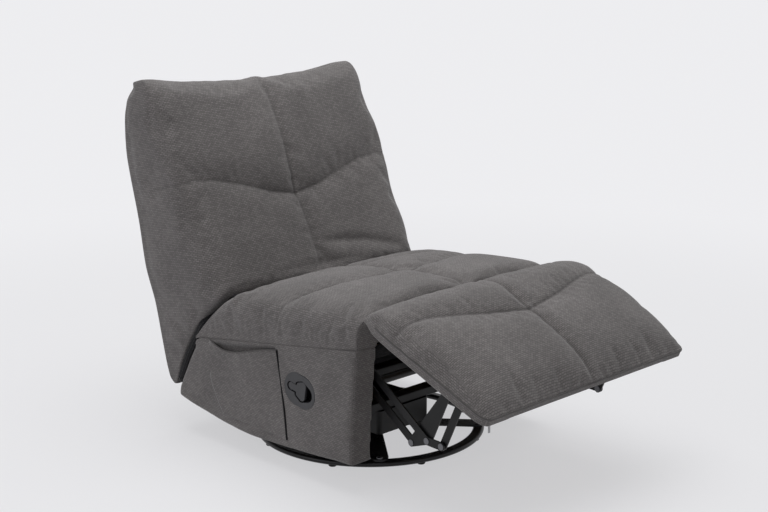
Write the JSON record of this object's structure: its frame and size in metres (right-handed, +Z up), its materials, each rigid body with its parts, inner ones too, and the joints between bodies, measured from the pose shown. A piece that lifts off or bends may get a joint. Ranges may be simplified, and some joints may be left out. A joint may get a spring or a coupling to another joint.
{
  "type": "swivel recliner chair",
  "caption": "Armless upholstered swivel recliner on a round steel ring base, with a tilting back, a fold-out padded legrest on a steel linkage and a recessed release lever.",
  "frame": {"origin": "on the floor, under the middle of the overall width and length with the legrest out", "axes": "+Z up, -Y the way the sitter faces, +X to the sitter's left"},
  "size_m": [0.78, 1.3088, 0.947],
  "materials": {
    "ring_steel": "gloss black powder coat",
    "glide_rubber": "matt",
    "bolt_steel": "dark zinc",
    "ball_steel": "polished",
    "mechanism_steel": "satin black paint",
    "frame_timber": "plywood",
    "cover_cloth": "dark warm grey woven cloth over foam",
    "webbing": "elastic webbing",
    "zip_tape": "black tape",
    "lever_plastic": "satin moulded",
    "cable_sheath": "smooth sheath",
    "zip_metal": "nickel"
  },
  "bodies": {
    "base": {"base_ring": "ring_steel", "base_cross": "ring_steel", "base_glides": "glide_rubber", "base_bolts": "bolt_steel", "swivel_lower_plate": "mechanism_steel", "swivel_balls": "ball_steel", "king_pin": "bolt_steel"},
    "chassis": {"swivel_upper_plate": "mechanism_steel", "pedestal_box": "mechanism_steel", "front_cross_bar": "mechanism_steel", "rear_cross_bar": "mechanism_steel", "side_plate_left": "mechanism_steel", "side_plate_right": "mechanism_steel", "side_board_left": "frame_timber", "side_board_right": "frame_timber", "seat_front_rail": "frame_timber", "seat_rear_rail": "frame_timber", "seat_webbing": "webbing", "seat_cushion": "cover_cloth", "side_pad_left": "cover_cloth", "side_pad_right": "cover_cloth", "side_pocket": "cover_cloth", "lever_cup": "lever_plastic", "lever_pin": "bolt_steel", "release_cable": "cable_sheath", "pivot_pins": "bolt_steel", "frame_bolts": "bolt_steel", "seam_roll": "cover_cloth", "side_zip_left": "zip_tape", "side_zip_right": "zip_tape"},
    "back": {"back_stile_left": "frame_timber", "back_stile_right": "frame_timber", "back_top_rail": "frame_timber", "back_middle_rail": "frame_timber", "back_bottom_rail": "frame_timber", "back_webbing": "webbing", "back_cushion": "cover_cloth", "back_rear_pad": "cover_cloth", "back_bracket_left": "mechanism_steel", "back_bracket_right": "mechanism_steel"},
    "legrest": {"legrest_board": "frame_timber", "legrest_cushion": "cover_cloth", "legrest_bracket_left": "mechanism_steel", "legrest_bracket_right": "mechanism_steel", "bracket_pins": "bolt_steel", "bracket_screws": "bolt_steel", "zip_slider": "zip_metal"},
    "lower_links": {"lower_link_left": "mechanism_steel", "lower_link_right": "mechanism_steel"},
    "upper_links": {"upper_link_left": "mechanism_steel", "upper_link_right": "mechanism_steel", "link_cross_tube": "mechanism_steel"},
    "front_links": {"front_link_left": "mechanism_steel", "front_link_right": "mechanism_steel", "front_link_pins": "bolt_steel"},
    "outer_links": {"outer_link_left": "mechanism_steel", "outer_link_right": "mechanism_steel", "outer_link_pins": "bolt_steel"},
    "lever": {"release_lever": "lever_plastic"},
    "zip_pull": {"zip_pull": "zip_metal"}
  },
  "joints": [
    {"name": "swivel", "type": "hinge", "parent": "base", "child": "chassis", "pos_m": [0, 0.0954, 0.031], "axis": [0, 0, 1], "continuous": true},
    {"name": "legrest_fold", "type": "hinge", "parent": "chassis", "child": "legrest", "pos_m": [0, -0.2566, 0.455], "axis": [1, 0, 0], "range_deg": [0, 68]},
    {"name": "lower_link_swing", "type": "hinge", "parent": "chassis", "child": "lower_links", "pos_m": [0, -0.1396, 0.3], "axis": [1, 0, 0], "range_deg": [0, 68]},
    {"name": "upper_link_swing", "type": "hinge", "parent": "chassis", "child": "upper_links", "pos_m": [0, -0.1956, 0.32], "axis": [1, 0, 0], "range_deg": [0, 68]},
    {"name": "front_link_turn", "type": "hinge", "parent": "lower_links", "child": "front_links", "pos_m": [0, -0.3466, 0.153], "axis": [1, 0, 0], "range_deg": [-68, 0]},
    {"name": "outer_link_turn", "type": "hinge", "parent": "upper_links", "child": "outer_links", "pos_m": [0, -0.4486, 0.171], "axis": [1, 0, 0], "range_deg": [-68, 0]},
    {"name": "recline", "type": "hinge", "parent": "chassis", "child": "back", "pos_m": [0, 0.4914, 0.142], "axis": [-1, 0, 0], "range_deg": [0, 30]},
    {"name": "lever_pull", "type": "hinge", "parent": "chassis", "child": "lever", "pos_m": [-0.3745, -0.00812, 0.2349], "axis": [0, 0.1736, -0.9848], "range_deg": [0, 30], "stiffness_Nm_per_rad": 0.6},
    {"name": "zip_swing", "type": "hinge", "parent": "legrest", "child": "zip_pull", "pos_m": [-0.35, -0.63268, 0.28601], "axis": [1, 0, 0], "range_deg": [-60, 40]}
  ],
  "couplings": [
    {"joint": "lower_link_swing", "follows": "legrest_fold", "ratio": 1},
    {"joint": "upper_link_swing", "follows": "legrest_fold", "ratio": 1},
    {"joint": "front_link_turn", "follows": "legrest_fold", "ratio": -1},
    {"joint": "outer_link_turn", "follows": "legrest_fold", "ratio": -1}
  ]
}
